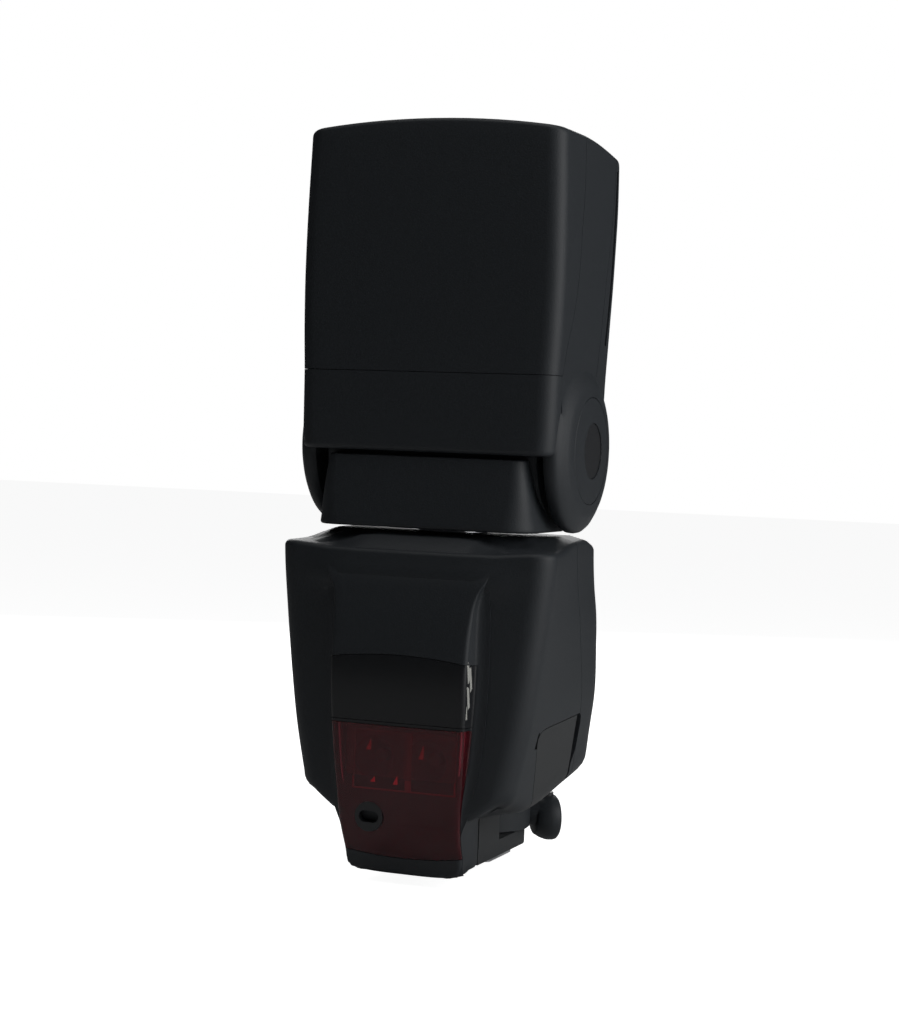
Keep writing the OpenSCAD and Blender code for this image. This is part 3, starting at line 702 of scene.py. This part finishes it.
def make_body_shell():
    """Wings, column and the block behind the column's lower end, hollowed."""
    outer = body_tower("outer", 0)
    join(outer, column_tower("column", 0))
    chin = box("chin", -15.6, 15.6, -24, -13.2, 3.4, 30, BODY)
    bevel(chin, 1.8, 4)
    bake(chin)
    join(outer, chin)
    inner = body_tower("inner", BODY_WALL)
    join(inner, column_tower("column", COLUMN_WALL))
    cut(outer, inner)
    return outer


# rubber cover over the side sockets, in its opening with a finger slot behind it
cover_outline = [(-11.4, 18.8), (-18.3, 37.6), (-18.4, 38.6), (-17.8, 39.7), (-16.6, 40.5), (-14.5, 41),
                 (7.6, 42.4), (7.6, 22.6), (-8.6, 18.8)]
cover_hole = [(-11.6, 18.6), (-18.5, 37.6), (-18.6, 38.7), (-18, 39.9), (-16.7, 40.7), (-14.5, 41.2),
              (7.6, 42.65), (9.5, 42.8), (10.6, 42), (11, 40), (10.6, 33.5), (8.6, 29.5), (8.6, 22.4),
              (-8.5, 18.6)]


def make_terminal_cover(outer):
    flap = copy(outer, "terminal_cover_shell")
    both(flap, prism("zone", cover_outline, "X", 20, 50, BODY))
    dress(flap, "rubber_black", "cover", ["terminal_cover"])
    cut(outer, prism("zone", cover_hole, "X", 20, 50, BODY))
    hinge = np.array(pivot("terminal_cover_swing")) - BODY
    cut(outer, rod("notch", 1.3, 36.2, 41, "Z", BODY, 32, (hinge[0], hinge[1], 0)))


def make_battery_door(outer):
    pin = middle("door_hinge_pin")
    low, high = span("battery_door")
    y0, y1, top = low[1], high[1], high[2]
    foot = pin[2] + 1.6  # lower edge of the door, just over its knuckles
    door = copy(outer, "battery_door_shell")
    both(door, box("zone", -50, -24, y0, y1, foot, top, BODY))
    cut(door, box("slot", -50, -20, 1, 9, 72.9, 78.1, BODY))
    for start, end in ((y0 + 0.2, y0 + 5.9), (y1 - 5.9, y1 - 0.2)):
        knuckle = rod("knuckle", 1.6, start, end, "Y", BODY, 32, pin)
        join(knuckle, box("leaf", -32.7, -31.3, start, end, pin[2] + 0.4, pin[2] + 3, BODY))
        join(door, knuckle)
    cut(door, rod("pin", 0.85, -12, 22, "Y", BODY, 32, pin))
    dress(door, "black_plastic", "door", ["battery_door"])
    cut(outer, box("zone", -50, -22, y0 - 0.2, y1 + 0.2, foot - 0.2, top + 0.2, BODY))
    cut(outer, box("hinge", -38, -29.4, y0 - 0.2, y1 + 0.2, 45.1, 51, BODY))


# ---------------------------------------------------------------- windows on the column
WINDOW_WALL = 1.5
RED_TOP = 41.2
RED_FOOT = 6.8
RED_SAG = 1.3  # how much higher the red window's lower edge is at x = 16 than in the middle
SMOKED_FOOT = 42.2
FRAME_BACK = -31.35  # rear plane of what is seen through the red window
slivers = [[(-34.9, 58.4), (-34.2, 58.9), (-33.4, 54.2), (-34.1, 53.2)],
           [(-33.9, 57.2), (-33.2, 57.4), (-32.3, 52), (-33, 51)],
           [(-34.5, 52.6), (-33.6, 52.2), (-32.8, 47.4), (-33.5, 46.6)],
           [(-34.1, 47.8), (-33.9, 47.4), (-33.4, 44.4), (-34.1, 44.2)]]
painted_glow_wedges = [(-9, 34.5, 2.6), (5.4, 33.2, 3.4), (-7.6, 26.4, 1.4), (-1.4, 26.2, 2.2)]  # x, z and height of the wedges that carry the painted glow


def window_zone(z0, z1, grow=0.0, sag=0.0):
    """Piece of the column that a window takes up: curved lower and upper edges, a limit behind its sides."""
    top = [(x, min(z1, -60.8 + math.sqrt((120 + grow) ** 2 - x * x))) for x in np.linspace(26, -26, 40)]
    foot = [(x, z0 + sag * (x / 16) ** 2) for x in np.linspace(-26, 26, 40)]
    zone = prism("zone", foot + top, "Y", -40, COLUMN_BACK, BODY)
    side = [(max(float(column_y(z)) + 1.35, -31.3) + grow, float(z)) for z in np.linspace(2, 70, 35)]
    both(zone, prism("side", [(-60, 2)] + side + [(-60, 70)], "X", -30, 30, BODY))
    return zone


def make_facets(skin, smoked):
    """Pale pieces in the smoked window's clear side strips; their light colour is a painted glint for the strips'
    sparkle.
    """
    for k, outline in enumerate(slivers):
        for name, x0, x1 in (("left", -24, -17), ("right", 17, 24)):
            block = prism("block", outline, "X", x0, x1, BODY)
            facet = copy(skin, "window_facet_%d_%s" % (k, name))
            both(facet, copy(block, "tool"))
            # painted glint on each facet
            dress(facet, "lens_plastic", "body", look="facet_painted_glint")
            cut(smoked, block)


def make_lamp_frame():
    """Frame with two cells and four small wedges, seen through the red window; both emit a painted glow in place
    of the light they catch through it.
    """
    lattice = box("window_lattice", -12.6, 15.4, FRAME_BACK - 0.35, FRAME_BACK, 24.4, 39.4, BODY)
    for x0, x1 in ((-12.2, 1.8), (3.4, 15)):
        cut(lattice, box("cell", x0, x1, -33, -30, 24.8, 39, BODY))
    # the frame's finish adds a faint painted glow
    dress(lattice, "red_plastic", "body", look="window_frame_painted_glow")
    for k, (x, z, high) in enumerate(painted_glow_wedges):
        outline = [(x, z), (x + 1.2, z), (x + 1.1, z + high)]
        wedge = prism("window_wedge_%d" % k, outline, "Y", FRAME_BACK - 0.55, FRAME_BACK, BODY)
        # each wedge's finish adds a painted glow
        dress(wedge, "red_plastic", "body", look="window_painted_glow")


def make_windows(outer):
    skin = column_tower("skin", 0)
    cut(skin, column_tower("inside", WINDOW_WALL))
    smoked = copy(skin, "smoked_window_shell")
    make_facets(skin, smoked)
    band = copy(skin, "window_band")
    both(smoked, window_zone(SMOKED_FOOT, 70))
    both(band, window_zone(RED_TOP + 0.15, SMOKED_FOOT - 0.15))
    dress(band, "smoked_plastic", "body")
    dress(smoked, "smoked_plastic", "body", ["smoked_window"])
    red = skin
    red.name = "assist_window_shell"
    both(red, window_zone(RED_FOOT, RED_TOP, 0, RED_SAG))
    cut(red, rod("eye", 3.85, -45, -20, "Y", BODY, 64, middle("sensor_bezel")))
    dress(red, "red_window", "body", ["assist_window"])
    cut(outer, window_zone(RED_FOOT - 0.15, 75, 0.15, RED_SAG))
    make_lamp_frame()


# ---------------------------------------------------------------- body cases, openings of the control panel
PANEL_IN = 27
PANEL_OUT = 32
KEYS = ("light_button", "mode_button", "sync_button", "zoom_button")
POWER_TRAVEL = 3.4
part_line = spline([(-1, 96), (-0.5, 86), (4, 68), (9.2, 46), (10.5, 30), (12, 1)], 6)


def panel_box(case, node, gap, travel=0.0):
    """Cuts a node's rectangle out of the control panel, with a gap around it and travel above it."""
    low, high = span(node)
    x0, x1, z0, z1 = low[0] - gap, high[0] + gap, low[2] - gap, high[2] + gap + travel
    cut(case, box("opening", x0, x1, PANEL_IN, PANEL_OUT, z0, z1, BODY))


def panel_bore(case, node, r, n):
    """Cuts a round opening around the middle of a node out of the control panel."""
    cut(case, rod("opening", r, PANEL_IN, PANEL_OUT + 1, "Y", BODY, n, middle(node)))


def make_cases(outer):
    front_zone = [(-60, 1), (-60, 96)] + [(y - SEAM / 2, z) for y, z in part_line]
    rear_zone = [(60, 1), (60, 96)] + [(y + SEAM / 2, z) for y, z in part_line]
    front_case = copy(outer, "front_case_shell")
    both(front_case, prism("zone", front_zone, "X", -60, 60, BODY))
    rear_case = outer
    rear_case.name = "rear_case_shell"
    both(rear_case, prism("zone", rear_zone, "X", -60, 60, BODY))
    panel_box(rear_case, "lcd_window", 0)
    for key in KEYS:
        panel_box(rear_case, key, 0.1)
    panel_bore(rear_case, "select_dial", 10.2, 96)
    panel_bore(rear_case, "test_button", 3.2, 48)
    panel_box(rear_case, "power_switch", 0.2, POWER_TRAVEL)
    dress(front_case, "black_plastic", "body", ["front_case"])
    dress(rear_case, "black_plastic", "body", ["rear_case"])


body_shell = make_body_shell()
make_terminal_cover(body_shell)
make_battery_door(body_shell)
cut(body_shell, rod("swivel_hole", 9.25, 70, 99, "Z", BODY))
make_windows(body_shell)
make_cases(body_shell)

# ---------------------------------------------------------------- foot, measured from the shoe's middle
SKIRT_R = 15.2
COLLAR_BORE = 12.05
LEVER_TURN = 36  # where the thumb lever stands, in degrees from +X
PAD_Z = 9.9
ARM_Z = 11.3
pad_profile = [(0, 18.2), (4.2, 18.2), (4.7, 18.5), (5.6, 20), (6.2, 21.6), (6.3, 22.4), (6.3, 23.6),
               (6.1, 24.3), (5.5, 24.8), (2.6, 25), (0, 25)]
arm_profile = [(0, 12.5), (2.8, 12.5), (2.9, 15.4), (4.3, 19), (0, 19)]
collar_profile = [(COLLAR_BORE, 8.4), (16.2, 8.4), (16.5, 8.7), (16.5, 13.7), (16.2, 14), (COLLAR_BORE, 14)]


def make_skirt():
    back = arc(0, 0, SKIRT_R, 180, 0, 32)[1:-1]
    outline = [(-SKIRT_R, -34), (-SKIRT_R, 2)] + back + [(SKIRT_R, 2), (SKIRT_R, -34)]
    skirt = prism("foot_skirt_shell", outline, "Z", 4, 8.2)
    bevel(skirt, 0.8, 4)
    bake(skirt)
    join(skirt, box("front", -SKIRT_R, SKIRT_R, -33.8, -18.2, 6, 19))
    cut(skirt, rod("core", 12, 3, 9, "Z", FOOT))
    dress(skirt, "rubber_black", "body", ["foot_skirt"])


def make_lever():
    """Locking collar with its thumb lever and the hole for the lock release button."""
    lever = lathe("lock_lever_shell", collar_profile, "Z")
    turn = Matrix.Rotation(math.radians(LEVER_TURN), 4, "Z")
    pad = lathe("pad", pad_profile, "X", FOOT, 72, (0, 0, PAD_Z))
    arm = lathe("arm", arm_profile, "X", FOOT, 48, (0, 0, ARM_Z))
    for o in (pad, arm):
        o.data.transform(turn)
    join(arm, pad)
    join(lever, arm)
    cut(lever, rod("core", COLLAR_BORE, 0, 30, "Z", FOOT))
    hole = rod("hole", 1.9, 12, 22, "Z", FOOT, 32, (22, 0, 0))
    hole.data.transform(turn)
    cut(lever, hole)
    dress(lever, "black_plastic", "lever", ["lock_lever"])


make_skirt()
make_lever()

# ---------------------------------------------------------------- CAD nodes that stay
slots = {p["node"]: p["material_slot"] for p in frame["record"]["subparts"]}
for name, o in frame["nodes"].items():
    o.data.materials.clear()
    o.data.materials.append(M[slots[name]])
    shade(o, 30)
    if not o.hide_render:
        bevel(o, 0.15, 2, 40)

# ---------------------------------------------------------------- stage
FLOOR_HALF = 3000
FLOOR_Z = -0.4


def make_world():
    """White to the camera, and a dim cool light for everything else."""
    world = bpy.data.worlds.new("world")
    bpy.context.scene.world = world
    world.use_nodes = True
    tree = world.node_tree
    seen = tree.nodes["Background"]
    seen.inputs["Color"].default_value = (1, 1, 1, 1)
    seen.inputs["Strength"].default_value = 1.0
    dim = tree.nodes.new("ShaderNodeBackground")
    dim.inputs["Color"].default_value = (0.9, 0.95, 1.0, 1)
    dim.inputs["Strength"].default_value = 0.024
    path = tree.nodes.new("ShaderNodeLightPath")
    either = tree.nodes.new("ShaderNodeMixShader")
    tree.links.new(path.outputs["Is Camera Ray"], either.inputs["Fac"])
    tree.links.new(dim.outputs["Background"], either.inputs[1])
    tree.links.new(seen.outputs["Background"], either.inputs[2])
    tree.links.new(either.outputs["Shader"], tree.nodes["World Output"].inputs["Surface"])


def make_floor():
    """Pale floor that the camera sees nearly white."""
    square = [(-1, -1), (1, -1), (1, 1), (-1, 1)]
    floor = store("floor", [(x * FLOOR_HALF, y * FLOOR_HALF, FLOOR_Z) for x, y in square], [(0, 1, 2, 3)])
    pale = material("floor", (0.6, 0.6, 0.6), rough=0.9, mottle=0.01)
    tree = pale.node_tree
    bsdf = tree.nodes["Principled BSDF"]
    path = tree.nodes.new("ShaderNodeLightPath")
    bsdf.inputs["Emission Color"].default_value = (1, 1, 1, 1)
    bright = tree.nodes.new("ShaderNodeMath")
    bright.operation = "MULTIPLY"
    bright.inputs[1].default_value = 0.93
    tree.links.new(path.outputs["Is Camera Ray"], bright.inputs[0])
    tree.links.new(bright.outputs["Value"], bsdf.inputs["Emission Strength"])
    floor.data.materials.append(pale)


def lamp(name, place, target, power, size):
    """Square soft lamp that looks from place to target."""
    data = bpy.data.lights.new(name, "AREA")
    data.energy = power
    data.size = size * MM
    o = bpy.data.objects.new(name, data)
    bpy.context.scene.collection.objects.link(o)
    o.location = Vector(place) * MM
    o.rotation_mode = "QUATERNION"
    o.rotation_quaternion = (Vector(target) * MM - o.location).to_track_quat("-Z", "Y")


def make_camera():
    """Front right view, slightly from above, with the horizon a little tilted."""
    data = bpy.data.cameras.new("camera")
    data.sensor_width = 36
    data.lens = 76.6
    camera = bpy.data.objects.new("camera", data)
    bpy.context.scene.collection.objects.link(camera)
    yaw, pitch, roll = math.radians(21.111), math.radians(1.990), math.radians(2.157)
    forward = Vector((-math.sin(yaw), math.cos(yaw), 0))
    right = Vector((math.cos(yaw), math.sin(yaw), 0))
    up = Vector((0, 0, 1))
    look = forward * math.cos(pitch) - up * math.sin(pitch)
    over = up * math.cos(pitch) + forward * math.sin(pitch)
    side = right * math.cos(roll) + over * math.sin(roll)
    top = over * math.cos(roll) - right * math.sin(roll)
    turn = Matrix(((side.x, top.x, -look.x), (side.y, top.y, -look.y), (side.z, top.z, -look.z)))
    camera.matrix_world = Matrix.Translation(Vector((206.72, -559.71, 114.49)) * MM) @ turn.to_4x4()
    bpy.context.scene.camera = camera


make_world()
make_floor()
lamp("right_softbox", (520, -60, 260), (0, -20, 90), 1.9, 420)
lamp("back_softbox", (-260, 520, 320), (0, 20, 90), 2.2, 420)
lamp("top_softbox", (0, -150, 620), (0, -20, 100), 0.9, 400)
make_camera()
bpy.context.scene.view_settings.view_transform = "Standard"
